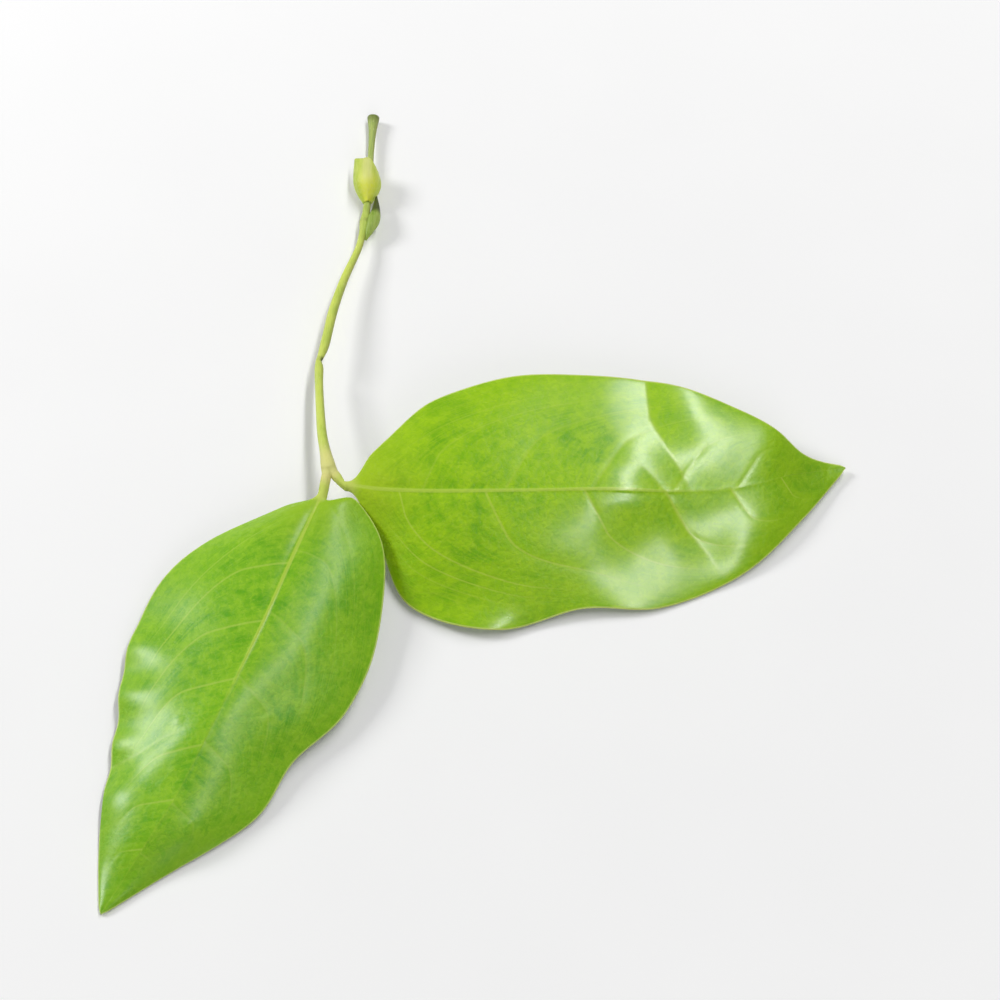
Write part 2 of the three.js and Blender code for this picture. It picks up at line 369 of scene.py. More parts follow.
def surface_normals(surface):
    along = np.gradient(surface, axis=0)
    across = np.gradient(surface, axis=1)
    return unit(np.cross(across, along))


def gradient_length(values, surface):
    """How fast a value changes over a surface, per millimetre."""
    du, ds = np.gradient(values)
    pu, ps = np.gradient(surface, axis=0), np.gradient(surface, axis=1)
    e, f, g = (pu * pu).sum(-1), (pu * ps).sum(-1), (ps * ps).sum(-1)
    area = np.maximum(e * g - f * f, 1e-9)
    return np.sqrt(np.maximum((g * du * du - 2 * f * du * ds + e * ds * ds) / area, 1e-9))


def blade_facts(leaf, t, share):
    """What the relief and the finish both read at each point of a blade, in millimetres along its surface."""
    surface = blade_surface(leaf, t, share)
    midrib = smooth_curve(leaf["midrib"], t)
    along = np.concatenate([[0], np.cumsum(np.linalg.norm(np.diff(midrib, axis=0), axis=1))])[:, None]
    edges = [smooth_curve(leaf[side], t) for side in ("left_edge", "right_edge")]
    widths = [np.linalg.norm(edge - midrib, axis=1)[:, None] for edge in edges]
    half_width = np.where(share[None, :] < 0, widths[0], widths[1])
    across = half_width * share[None, :]
    out = np.abs(share)[None, :]
    start = along - half_width * (VEIN_SLANT * out + VEIN_SWEEP * np.maximum(out - VEIN_BEND, 0) ** 2)
    phases = [phase_of(start, starts) for starts in leaf["vein_starts"]]
    phase = np.where(share[None, :] < 0, phases[0], phases[1])
    slopes = [gradient_length(values, surface) for values in phases]
    pitch = np.clip(1 / np.where(share[None, :] < 0, slopes[0], slopes[1]), 0, WIDEST_PITCH)
    loop = (out - LOOP_PLACE - LOOP_DIP * np.abs(np.sin(np.pi * along / LOOP_LENGTH))) * half_width
    return {
        "along": along + 0 * across,
        "above": surface[..., 2],
        "across": across,
        "out": out + 0 * across,
        "edge": half_width * (1 - out),
        "phase": phase,
        "pitch": pitch,
        "vein": np.abs(phase - np.round(phase)) * pitch,
        "loop": loop,
        "t": t[:, None] + 0 * across,
        "length": float(along[-1, 0]),
    }


def phase_of(start, starts):
    """Counts the side veins along the midrib: a whole number on each vein, running on past both ends."""
    stops = np.array(starts, float)
    first, last = stops[1] - stops[0], stops[-1] - stops[-2]
    padded = np.concatenate([[stops[0] - SPARE_VEINS * first], stops, [stops[-1] + SPARE_VEINS * last]])
    counts = np.concatenate([[-SPARE_VEINS], np.arange(len(stops)), [len(stops) - 1 + SPARE_VEINS]])
    return np.interp(start, padded, counts)


def crease_place(crease, facts):
    """Distance past a fold line, and how much of the fold is left towards its two ends."""
    path = np.array(crease["path"], float)
    offset = facts["along"] - np.interp(facts["across"], path[:, 1], path[:, 0])
    low, high = path[0, 1], path[-1, 1]
    return offset, ramp(facts["across"], low, low + FOLD_END) * ramp(facts["across"], high, high - FOLD_END)


def fold_lines(leaf, facts):
    """Nearness to a fold line, from 0 to 1."""
    places = [crease_place(crease, facts) for crease in leaf["creases"]]
    return np.max([bell(offset, FOLD_WIDTH) * reach for offset, reach in places], axis=0)


def crease_depth(crease, facts):
    """How far a fold line pushes the blade down: a valley whose sides run straight, then ease out."""
    offset, reach = crease_place(crease, facts)
    spread = np.where(offset < 0, crease["before"], crease["after"])
    low, high = crease["path"][0][1], crease["path"][-1][1]
    side = np.logaddexp(0, (1 - np.abs(offset) / spread) * VALLEY_EASE) / VALLEY_EASE
    return np.interp(facts["across"], [low, high], crease["depth"]) * side * reach


def slow_swell(facts, seed):
    """Gentle uneven waves over a blade, between -1 and 1."""
    dice = np.random.default_rng(seed)
    total = 0
    for _ in range(SWELL_WAVES):
        angle, turn = dice.uniform(0, np.pi), dice.uniform(0, 2 * np.pi)
        wave = 2 * np.pi / dice.uniform(*SWELL_LENGTHS)
        place = facts["along"] * np.cos(angle) + facts["across"] * np.sin(angle)
        total = total + np.sin(wave * place + turn)
    return total / SWELL_WAVES


def blade_relief(leaf, facts):
    """Height of the upper face over the middle surface: midrib groove, sunken veins, puffed panels, folds."""
    taper = ramp(facts["t"], 0.02, 0.12) * ramp(facts["t"], 1, 0.93)
    rib = (1 - 0.5 * facts["along"] / facts["length"]) * (1 - 0.75 * ramp(facts["along"], *leaf["rib_fades"]))
    joined = ramp(facts["out"], 0.8, 0.45)
    height = -GROOVE_DEPTH * rib * bell(facts["across"], GROOVE_WIDTH)
    height += RIDGE_HEIGHT * rib * bell(facts["across"], RIDGE_WIDTH)
    height -= VEIN_DEPTH * bell(facts["vein"], VEIN_WIDTH) * joined
    panels = joined * ramp(facts["out"], 0, 0.2) * ramp(facts["along"], *PANELS_FADE)
    height -= leaf["pillow"] * bell(facts["vein"], PANEL_WIDTH) * panels
    for along, across in leaf["blisters"]:
        away = np.hypot(facts["along"] - along, facts["across"] - across)
        height += BLISTER_HEIGHT * bell(away, BLISTER_WIDTH)
    broad = leaf["swell"] * slow_swell(facts, leaf["seed"])
    for crease in leaf["creases"]:
        broad -= crease_depth(crease, facts)
    for along, across, rise, reach, reach_across in leaf["mounds"]:
        far = np.hypot((facts["along"] - along) / reach, (facts["across"] - across) / reach_across)
        broad += rise * bell(far, 1)
    free = np.where(broad < 0, ramp(facts["above"], 0.2, SETTLING), 1)
    return (height + broad * free) * taper


def stalk_section(shares, side):
    """Places round the stalk's section, as steps to the right and up, for columns of one side of the ring."""
    angle = shares * (np.pi / 2) * 0.94
    return np.sin(angle), side * np.cos(angle)


def stalk_rings(centres, headings, radii, upper_q, lower_q):
    """Round rings with a blade ring's columns, square to a heading at each row."""
    rows = []
    for centre, heading, radius in zip(centres, headings, radii):
        right = flat_direction(heading - 90)
        ring = []
        for q, side in ((upper_q, 1), (lower_q, -1)):
            steps_right, steps_up = stalk_section(q, side)
            ring.append(centre + radius * (steps_right[:, None] * right + steps_up[:, None] * [0, 0, 1]))
        rows.append(np.vstack(ring))
    return np.array(rows)


def column_shares(q):
    """Columns packed closer at the midrib and at the edges."""
    size = np.abs(q)
    return np.sign(q) * (size - 0.45 * np.sin(2 * np.pi * size) / (2 * np.pi))


def leaf_piece(name, leaf):
    """Stalk, blade and midrib in one closed mesh with an upper and an under face."""
    upper_q = np.linspace(-1, 1, UPPER_COLUMNS + 1)
    lower_q = np.linspace(1, -1, LOWER_COLUMNS + 1)
    t = np.linspace(0, 1, BLADE_ROWS + 1)
    faces = []
    facts_of = []
    for q, side in ((upper_q, 1), (lower_q, -1)):
        share = column_shares(q)
        facts = blade_facts(leaf, t, share)
        surface = blade_surface(leaf, t, share)
        normals = surface_normals(surface)
        half = BLADE_HALF_THICKNESS * np.sqrt(np.maximum(1 - facts["out"] ** 16, 0)) + EDGE_HALF_THICKNESS
        relief = blade_relief(leaf, facts)
        facts["fold"] = fold_lines(leaf, facts)
        sunk = LEAST_HEIGHT - surface[..., 2] - relief
        surface[..., 2] += np.logaddexp(0, sunk * FLOOR_EASE) / FLOOR_EASE
        lift = surface + normals * (half + side * relief)[..., None]
        if side < 0:
            keel = KEEL_DEPTH * (1 - KEEL_TAPER * facts["t"]) * bell(facts["across"], KEEL_WIDTH)
            veins = UNDER_VEIN_HEIGHT * bell(facts["vein"], UNDER_VEIN_WIDTH) * ramp(facts["out"], 0.92, 0.5)
            lift[..., 2] -= keel + veins * ramp(facts["t"], 0.02, 0.1)
        faces.append(lift)
        facts_of.append(facts)
    blade = np.concatenate(faces, axis=1)

    midrib = smooth_curve(leaf["midrib"], t)
    straight = np.zeros(len(t))
    round_blade = stalk_rings(midrib, straight, np.full(len(t), STALK_RADIUS), upper_q, lower_q)
    roundness = (np.maximum(0, 1 - t / STALK_BLEND) ** 2)[:, None, None]
    blade = blade * (1 - roundness) + round_blade * roundness

    turn = leaf["stalk_heading"] - leaf["heading"]
    base = np.array(leaf["midrib"][0], float)
    foot = flat_direction(leaf["stalk_heading"]) * (ARM_LENGTH - ARM_OVERLAP)
    foot = turned(foot - [*leaf["base"], -FORK_HEIGHT], -leaf["heading"])
    bend = foot + flat_direction(turn) * np.linalg.norm(base - foot) / 2
    s = np.linspace(0, 1, STALK_ROWS + 1)[:-1]
    centres = ((1 - s) ** 2)[:, None] * foot + (2 * s * (1 - s))[:, None] * bend + (s * s)[:, None] * base
    radii = STALK_RADIUS * (1 - 0.05 * bell(s, 0.05))
    stalk = stalk_rings(centres, turn * (1 - s), radii, upper_q, lower_q)

    rings = np.concatenate([stalk, blade])
    rings = np.concatenate([rings, rings[:, :1]], axis=1)
    rings = turned(rings, leaf["heading"]) + [*leaf["base"], 0]
    facts = leaf_attributes(facts_of, np.linalg.norm(base - foot), s, roundness[:, 0, 0])
    under = (UPPER_COLUMNS + 1, UPPER_COLUMNS + LOWER_COLUMNS + 1)
    return ring_piece(name, rings, facts, under)


def turned(points, degrees):
    c, s = math.cos(math.radians(degrees)), math.sin(math.radians(degrees))
    return points @ np.array([[c, s, 0], [-s, c, 0], [0, 0, 1]])


def leaf_attributes(facts_of, stalk_length, s, roundness):
    """What a leaf's corners hold. blade: distance along, across and to the edge. veins: vein count, its pitch
    and distance to a loop. stalk: how far a corner belongs to the stalk, and its nearness to a fold line."""
    blade = np.concatenate([np.stack([f["along"], f["across"], f["edge"]], -1) for f in facts_of], axis=1)
    veins = np.concatenate([np.stack([f["phase"], f["pitch"], f["loop"]], -1) for f in facts_of], axis=1)
    stalk = np.zeros_like(blade)
    stalk[..., 0] = roundness[:, None]
    stalk[..., 1] = np.concatenate([f["fold"] for f in facts_of], axis=1)
    before = np.repeat(blade[:1], len(s), axis=0)
    before[..., 0] = (stalk_length * (s - 1))[:, None]
    blade = np.concatenate([before, blade])
    veins = np.concatenate([np.repeat(veins[:1], len(s), axis=0), veins])
    stalk = np.concatenate([np.ones_like(before) * [1, 0, 0], stalk])
    sets = {"blade": blade, "veins": veins, "stalk": stalk}
    return {label: np.concatenate([values, values[:, :1]], axis=1) for label, values in sets.items()}


# ---- stem, young leaf and bud

STEM_ROWS = 420
STEM_SIDES = 26
MARK_STEPS, MARK_BATCH = 500, 4000
JOINTS = (35.5, 84)
# The lower joint is pinched: depth, shift to the left, reach before and past it. The upper one has a ring.
PINCH_DEPTH, PINCH_SHIFT, PINCH_REACH = 0.5, 0.35, (1.8, 3.2)
RING_HEIGHT, RING_WIDTH = 0.06, 0.6
# Rings that close the snapped end, each (step along the stem, share of the last ring's size).
END_DISH = [(0.12, 0.93), (0.1, 0.8), (-0.25, 0.62), (-0.45, 0.3), (-0.4, 0.08)]


def stem_line(count):
    stops = np.array(STEM_STOPS, float)
    points = smooth_curve(stops, np.linspace(0, 1, count))
    return points[:, :3], points[:, 3]


def stem_tube():
    """The shoot's own tube: narrow at the lower joint, ringed at the upper one, dished at the snapped end."""
    centres, radii = stem_line(STEM_ROWS)
    past_joint = centres[:, 1] - JOINTS[0]
    pinch = bell(past_joint, np.where(past_joint > 0, PINCH_REACH[1], PINCH_REACH[0]))
    centres[:, 0] -= PINCH_SHIFT * pinch
    radii = radii - PINCH_DEPTH * pinch + RING_HEIGHT * bell(centres[:, 1] - JOINTS[1], RING_WIDTH)
    rings = round_rings(centres, radii, STEM_SIDES)
    along = unit(centres[-1] - centres[-2])
    last = rings[-1] - centres[-1]
    dish = [centres[-1] + along * step + last * share for step, share in END_DISH]
    return ring_piece("stem_shoot", np.concatenate([rings, dish]))


def fork_arm(name, leaf):
    direction = flat_direction(leaf["stalk_heading"])
    s = np.linspace(0, 1, 24)
    centres = np.array([0, 0, FORK_HEIGHT]) + direction * (ARM_LENGTH * s)[:, None]
    radii = ARM_ROOT_RADIUS + (STALK_RADIUS - ARM_ROOT_RADIUS) * ramp(s, 0, 0.9) + 0.03 * bell(s - 0.95, 0.08)
    return ring_piece(name, round_rings(centres, radii, STEM_SIDES))


def stem_piece():
    """Shoot and fork arms joined into one skin."""
    shoot = stem_tube()
    arms = [fork_arm("arm_right", RIGHT_LEAF), fork_arm("arm_left", LEFT_LEAF)]
    select_only(shoot)
    for arm in arms:
        arm.select_set(True)
    bpy.ops.object.join()
    apply_modifier(shoot, "REMESH", mode="VOXEL", voxel_size=0.15 * MM, use_smooth_shade=True)
    apply_modifier(shoot, "SMOOTH", factor=0.5, iterations=8)
    shoot.name = "melinjo_stem"
    shoot.data.name = "melinjo_stem"
    mark_stem(shoot)
    return shoot


def apply_modifier(piece, kind, **settings):
    select_only(piece)
    modifier = piece.modifiers.new(kind.title(), kind)
    for setting, value in settings.items():
        setattr(modifier, setting, value)
    bpy.ops.object.modifier_apply(modifier=modifier.name)


def mark_stem(piece):
    """Stores distance along the stem, distance round it and nearness to a joint at each corner."""
    mesh = piece.data
    points = np.empty(len(mesh.vertices) * 3)
    mesh.vertices.foreach_get("co", points)
    points = points.reshape(-1, 3) / MM - FORK
    centres, _ = stem_line(MARK_STEPS)
    nearest = np.empty(len(points), int)
    for first in range(0, len(points), MARK_BATCH):
        part = points[first:first + MARK_BATCH]
        nearest[first:first + MARK_BATCH] = ((part[:, None] - centres[None]) ** 2).sum(-1).argmin(1)
    offset = points - centres[nearest]
    around = np.arctan2(offset[:, 0], offset[:, 2])
    along = centres[nearest, 1]
    joint = bell(along - JOINTS[0], 0.9) + 0.6 * bell(along - JOINTS[1], 1.2)
    facts = np.stack([along, around, joint], -1)
    attribute = mesh.attributes.new("stem", "FLOAT_VECTOR", "POINT")
    attribute.data.foreach_set("vector", facts.astype(np.float32).reshape(-1))


SCOOP_FOOT = np.array([3.4, 90.6, 2.7])
SCOOP_LIP = np.array([2.5, 102.8, 4.1])
SCOOP_HALF_ANGLE = 112
SCOOP_NECK, SCOOP_BELLY = 1.08, 2.6
SCOOP_ROWS, SCOOP_COLUMNS = 71, 61


def young_leaf_piece():
    """A thin scoop round the stem: outer face left to right, inner face back, with a ribbed wavy lip."""
    t = np.linspace(0, 1, SCOOP_ROWS)[:, None]
    steps = np.linspace(-1, 1, SCOOP_COLUMNS)
    along = unit(SCOOP_LIP - SCOOP_FOOT)
    right = unit(np.cross(along, [0, 0, 1]))
    up = np.cross(right, along)
    length = np.linalg.norm(SCOOP_LIP - SCOOP_FOOT)
    faces = []
    for side in (1, -1):
        share = (side * steps)[None, :]
        angle = np.radians(SCOOP_HALF_ANGLE) * share * (1 - 0.12 * t**3)
        belly = SCOOP_BELLY * np.sin(np.pi * 0.5 * np.clip(t / 0.58, 0, 1))
        radius = SCOOP_NECK + belly - 0.25 * ramp(t, 0.62, 1.1)
        radius = radius * (1 - 0.1 * ramp(share, 0.2, 0.8) * ramp(t, 0.5, 1))
        ribs = 0.025 * np.cos(share * 26) * ramp(t, 0, 0.3)
        keel = 0.3 * bell(share - 0.06, 0.16) * ramp(t, 0.9, 0.3)
        wall = 0.15 * np.sqrt(np.maximum(1 - np.abs(share) ** 12, 0)) * (1 - 0.5 * t**4) + 0.02
        radius = radius + (ribs + keel) + side * wall
        lip = 0.07 * ramp(share, -0.1, -0.75) - 0.26 * ramp(share, 0.05, 0.75)
        reach = t + t**2 * (lip + 0.015 * np.sin(share * 9 + 1))
        centre = SCOOP_FOOT + along * (length * reach)[..., None]
        ring = centre + radius[..., None] * (np.sin(angle)[..., None] * right + np.cos(angle)[..., None] * up)
        faces.append(ring)
    rings = np.concatenate(faces, axis=1)
    rings = np.concatenate([rings, rings[:, :1]], axis=1)
    share = np.concatenate([steps, -steps, steps[:1]])[None, :] + 0 * t
    facts = {"scoop": np.stack([share, t + 0 * share, 0 * share], -1)}
    return ring_piece("melinjo_young_leaf", rings, facts)


BUD_ROWS, BUD_SIDES = 90, 48
BUD_STOPS = [
    (3.8, 78.0, 3.1, 0.35),
    (4.6, 81.2, 3.3, 1.2),
    (5.5, 84.4, 3.5, 1.7),
    (5.9, 87.8, 3.6, 1.15),
    (5.75, 92.2, 3.7, 0.3),
]


def bud_piece():
    """A pointed drop wrapped in two overlapping scales."""
    stops = smooth_curve(BUD_STOPS, np.linspace(0, 1, BUD_ROWS))
    rings = round_rings(stops[:, :3], stops[:, 3], BUD_SIDES)
    s = np.linspace(0, 1, BUD_ROWS)[:, None]
    angle = np.linspace(0, 2 * np.pi, BUD_SIDES + 1)[None, :]
    lap = (angle + 1.3 * s + 0.6) % np.pi
    scale = 0.13 * (1 - lap / np.pi) * ramp(s, 0.05, 0.3) * ramp(s, 1, 0.8)
    centre = stops[:, None, :3]
    rings = rings + unit(rings - centre) * (scale - 0.04)[..., None]
    facts = {"scoop": np.stack([lap / np.pi, s + 0 * lap, 0 * lap], -1)}
    return ring_piece("melinjo_bud", rings, facts)


# ---- colour and node helpers

def paint(red, green, blue):
    """A colour given as 0 to 255 screen values."""
    shares = [value / 255 for value in (red, green, blue)]
    return (*[c / 12.92 if c <= 0.04045 else ((c + 0.055) / 1.055) ** 2.4 for c in shares], 1.0)


def feed(tree, node, inputs):
    """Links each named input of a node to another node's output, or sets it to a plain value."""
    for socket, value in inputs.items():
        if isinstance(value, bpy.types.NodeSocket):
            tree.links.new(value, node.inputs[socket])
        else:
            node.inputs[socket].default_value = value


def put(tree, kind, inputs=None, **settings):
    node = tree.nodes.new("ShaderNode" + kind)
    for setting, value in settings.items():
        setattr(node, setting, value)
    feed(tree, node, inputs or {})
    return node


def maths(tree, operation, *values):
    return put(tree, "Math", dict(enumerate(values)), operation=operation).outputs[0]


def summed(tree, start, terms):
    """Adds (value, weight) terms to a start value."""
    for value, weight in terms:
        start = maths(tree, "MULTIPLY_ADD", value, weight, start)
    return start


def mixed(tree, share, first, second):
    return put(tree, "Mix", {0: share, 6: first, 7: second}, data_type="RGBA").outputs[2]


def layered(tree, colour, layers):
    """Lays tones over a colour in order. A layer is (where it shows, how strongly, tone)."""
    for mask, strength, tone in layers:
        colour = mixed(tree, maths(tree, "MULTIPLY", mask, strength), colour, tone)
    return colour


def fade(tree, value, low, high, from_low=0.0, to_high=1.0):
    """Runs smoothly from from_low where value is low to to_high where it is high."""
    ends = {"Value": value, "From Min": low, "From Max": high, "To Min": from_low, "To Max": to_high}
    return put(tree, "MapRange", ends, interpolation_type="SMOOTHSTEP").outputs[0]


def noise(tree, place, scale, detail, output="Fac", **settings):
    inputs = {"Vector": place, "Scale": scale, "Detail": detail}
    return put(tree, "TexNoise", inputs, **settings).outputs[output]


def vector_maths(tree, operation, inputs):
    return put(tree, "VectorMath", inputs, operation=operation).outputs[0]


def parts_of(tree, vector):
    return put(tree, "SeparateXYZ", {0: vector}).outputs


def fact(tree, name):
    return put(tree, "Attribute", attribute_name=name).outputs["Vector"]


def new_group(name, inputs, outputs):
    """A node group with named sockets: inputs as (name, kind, value), outputs as names of plain values."""
    group = bpy.data.node_groups.new(name, "ShaderNodeTree")
    for label, kind, value in inputs:
        socket = group.interface.new_socket(label, in_out="INPUT", socket_type="NodeSocket" + kind)
        if value is not None:
            socket.default_value = value
    for label in outputs:
        group.interface.new_socket(label, in_out="OUTPUT", socket_type="NodeSocketFloat")
    made = group.nodes.new("NodeGroupOutput")
    return group, group.nodes.new("NodeGroupInput").outputs, made


def use_group(tree, group, inputs):
    return put(tree, "Group", inputs, node_tree=group).outputs


# ---- effects shared by several finishes

def vein_group():
    """Where the midrib, the side veins, the loops that join them and the thin rim are, each from 0 to 1."""
    inputs = [("Blade", "Vector", None), ("Veins", "Vector", None), ("Width", "Float", 0.3)]
    outputs = ["Midrib", "Side veins", "Loops", "Rim", "Panel", "Grain"]
    group, given, made = new_group("Leaf veins", inputs, outputs)
    along, across, edge = parts_of(group, given["Blade"])
    phase, pitch, loop = parts_of(group, given["Veins"])

    rib_width = fade(group, along, 0, 125, 0.8, 0.26)
    rib_share = maths(group, "DIVIDE", maths(group, "ABSOLUTE", across), rib_width)

    nearest = maths(group, "ABSOLUTE", maths(group, "SUBTRACT", phase, maths(group, "ROUND", phase)))
    distance = maths(group, "MULTIPLY", nearest, pitch)
    narrower_outwards = fade(group, edge, 26, 5, 1.0, 0.55)
    side_width = maths(group, "MULTIPLY", given["Width"], narrower_outwards)
    side_line = fade(group, maths(group, "DIVIDE", distance, side_width), 1.5, 0.3)
    loop_line = fade(group, maths(group, "ABSOLUTE", loop), 0.32, 0.05)

    stretched = {0: maths(group, "MULTIPLY", phase, 13.0), 1: maths(group, "MULTIPLY", across, 0.16)}
    grain_place = put(group, "CombineXYZ", stretched).outputs[0]
    grain = noise(group, grain_place, 1.0, 4.0, noise_dimensions="2D")

    feed(group, made, {
        "Midrib": fade(group, rib_share, 1, 0.45),
        "Side veins": maths(group, "MULTIPLY", side_line, fade(group, edge, 3.5, 12)),
        "Loops": maths(group, "MULTIPLY", loop_line, fade(group, edge, 1, 2.5)),
        "Rim": fade(group, edge, 0.55, 0.2),
        "Panel": fade(group, distance, 0.4, 3.4),
        "Grain": fade(group, grain, 0.34, 0.66),
    })
    return group


def network_group():
    """The net of veinlets between the side veins: larger meshes, small meshes, and a tone for each mesh."""
    inputs = [("Blade", "Vector", None), ("Mesh size", "Float", 2.6)]
    group, given, made = new_group("Veinlet net", inputs, ["Large net", "Small net", "Puff", "Tone"])
    wander = noise(group, given["Blade"], 0.5, 2.0, "Color", noise_dimensions="2D")
    centred = vector_maths(group, "SUBTRACT", {0: wander, 1: (0.5, 0.5, 0.5)})
    spread = vector_maths(group, "SCALE", {0: centred, "Scale": 2.4})
    moved = vector_maths(group, "ADD", {0: given["Blade"], 1: spread})
    large_scale = maths(group, "DIVIDE", 1.0, given["Mesh size"])
    small_scale = maths(group, "MULTIPLY", large_scale, 3.6)
    puff = 0.0
    for output, scale, line_width, rise in (
        ("Large net", large_scale, 0.09, 1.0),
        ("Small net", small_scale, 0.14, 0.25),
    ):
        meshes = {"Vector": moved, "Scale": scale}
        cells = put(group, "TexVoronoi", meshes, voronoi_dimensions="2D", feature="DISTANCE_TO_EDGE")
        inward = cells.outputs["Distance"]
        puff = maths(group, "ADD", puff, fade(group, inward, 0.0, 0.34, 0.0, rise))
        feed(group, made, {output: fade(group, inward, line_width, 0.0)})
    tone = put(group, "TexVoronoi", {"Vector": moved, "Scale": small_scale}, voronoi_dimensions="2D")
    feed(group, made, {"Puff": puff, "Tone": parts_of(group, tone.outputs["Color"])[0]})
    return group


def mottle_group():
    """Uneven growth tones: broad clouds, patches a few millimetres across and small flecks."""
    inputs = [("Position", "Vector", None), ("Patch size", "Float", 3.0)]
    group, given, made = new_group("Growth mottle", inputs, ["Clouds", "Patches", "Flecks"])
    inverse = maths(group, "DIVIDE", 1.0, given["Patch size"])
    for output, factor, detail, low, high in (
        ("Clouds", 0.16, 2.0, 0.36, 0.64),
        ("Patches", 0.8, 4.0, 0.34, 0.66),
        ("Flecks", 5.0, 2.0, 0.62, 0.74),
    ):
        level = noise(group, given["Position"], maths(group, "MULTIPLY", inverse, factor), detail)
        feed(group, made, {output: fade(group, level, low, high)})
    return group


def fibre_group():
    """Fine lengthwise streaks of a green shoot, broken up by pale pores."""
    inputs = [("Position", "Vector", None), ("Spacing", "Float", 0.3)]
    group, given, made = new_group("Shoot fibres", inputs, ["Streaks", "Pores", "Clouds"])
    drawn_out = vector_maths(group, "MULTIPLY", {0: given["Position"], 1: (1.0, 0.07, 1.0)})
    stubby = vector_maths(group, "MULTIPLY", {0: given["Position"], 1: (1.0, 0.5, 1.0)})
    streaks = noise(group, drawn_out, maths(group, "DIVIDE", 1.0, given["Spacing"]), 3.0)
    pores = put(group, "TexVoronoi", {"Vector": stubby, "Scale": 0.75}).outputs["Distance"]
    clouds = noise(group, given["Position"], 0.12, 2.0)
    feed(group, made, {
        "Streaks": fade(group, streaks, 0.33, 0.67),
        "Pores": fade(group, pores, 0.2, 0.1),
        "Clouds": fade(group, clouds, 0.36, 0.64),
    })
    return group


# ---- finishes

def new_finish(name):
    """A material with its Principled shader, and its object position in millimetres."""
    finish = bpy.data.materials.new(name)
    finish.use_nodes = True
    tree = finish.node_tree
    shader = tree.nodes["Principled BSDF"]
    place = put(tree, "TexCoord").outputs["Object"]
    millimetres = vector_maths(tree, "SCALE", {0: place, "Scale": 1 / MM})
    return finish, tree, shader, millimetres


def relief(tree, height, depth_mm):
    """Bump relief in which a height of 1 stands depth_mm proud."""
    return put(tree, "Bump", {"Height": height, "Distance": depth_mm * MM, "Strength": 1.0}).outputs["Normal"]


def upper_finish(name, leaf, tones, patch_size, dullness, wax, wax_dullness):
    """Glossy upper face of a blade: mottled green, paler veins, midrib and rim, the rim also a painted
    highlight on the edge, yellower at the stalk.
    """
    finish, tree, shader, millimetres = new_finish(name)
    blade = fact(tree, "blade")
    along, across, _ = parts_of(tree, blade)
    roundness, fold, _ = parts_of(tree, fact(tree, "stalk"))
    veins = use_group(tree, VEINS, {"Blade": blade, "Veins": fact(tree, "veins"), "Width": 0.32})
    net = use_group(tree, NET, {"Blade": blade, "Mesh size": MESH_SIZE})
    mottle = use_group(tree, MOTTLE, {"Position": millimetres, "Patch size": patch_size})
    stalk = fade(tree, roundness, *STALK_BLENDS)

    green = mixed(tree, mottle["Clouds"], tones["deep"], tones["bright"])
    green = layered(tree, green, [
        (mottle["Patches"], 0.8, tones["light"]),
        (veins["Grain"], 0.5, tones["light"]),
        (mottle["Flecks"], 0.4, tones["vein"]),
        (net["Tone"], 0.42, tones["deep"]),
        (fade(tree, along, 28, 2), 0.75, tones["base"]),
        (fade(tree, along, 92, 122), 0.5, tones["tip"]),
        (net["Small net"], 0.1, tones["light"]),
        (net["Large net"], 0.16, tones["vein"]),
        (fade(tree, veins["Panel"], 1, 0), 0.2, tones["light"]),
        (veins["Loops"], 0.1, tones["vein"]),
        (veins["Side veins"], fade(tree, across, -1.0, 1.0, leaf["far_veins"], 0.7), tones["vein"]),
        (veins["Midrib"], fade(tree, along, *leaf["rib_fades"], 0.8, 0.15), tones["midrib"]),
        # pale margin tone, partly a painted highlight where the edge catches light
        (veins["Rim"], 0.85, tones["rim"]),
        (fold, 0.45, tones["vein"]),
        (stalk, 1.0, tones["stalk"]),
        (fade(tree, along, *FORK_BLENDS), 1.0, tones["fork"]),
    ])

    facing_away = put(tree, "LayerWeight", {"Blend": 0.5}).outputs["Facing"]
    waxed = fade(tree, facing_away, 0.36, 0.7, wax, WAX_AT_GRAZING * wax)
    dimples = fade(tree, noise(tree, millimetres, 0.8, 2.0), 0.3, 0.7)
    height = summed(tree, net["Puff"], [(mottle["Patches"], 2.0), (dimples, 3.2)])
    duller = [(mottle["Patches"], 0.08), (veins["Side veins"], 0.08), (stalk, 0.2)]
    feed(tree, shader, {
        "Base Color": green,
        "Roughness": summed(tree, dullness, duller),
        "IOR": 1.45,
        "Specular IOR Level": 0.2,
        "Coat Weight": maths(tree, "MULTIPLY", maths(tree, "SUBTRACT", 1.0, stalk), waxed),
        "Coat Roughness": wax_dullness,
        "Coat IOR": 1.55,
        "Normal": relief(tree, height, depth_mm=0.021),
    })
    return finish


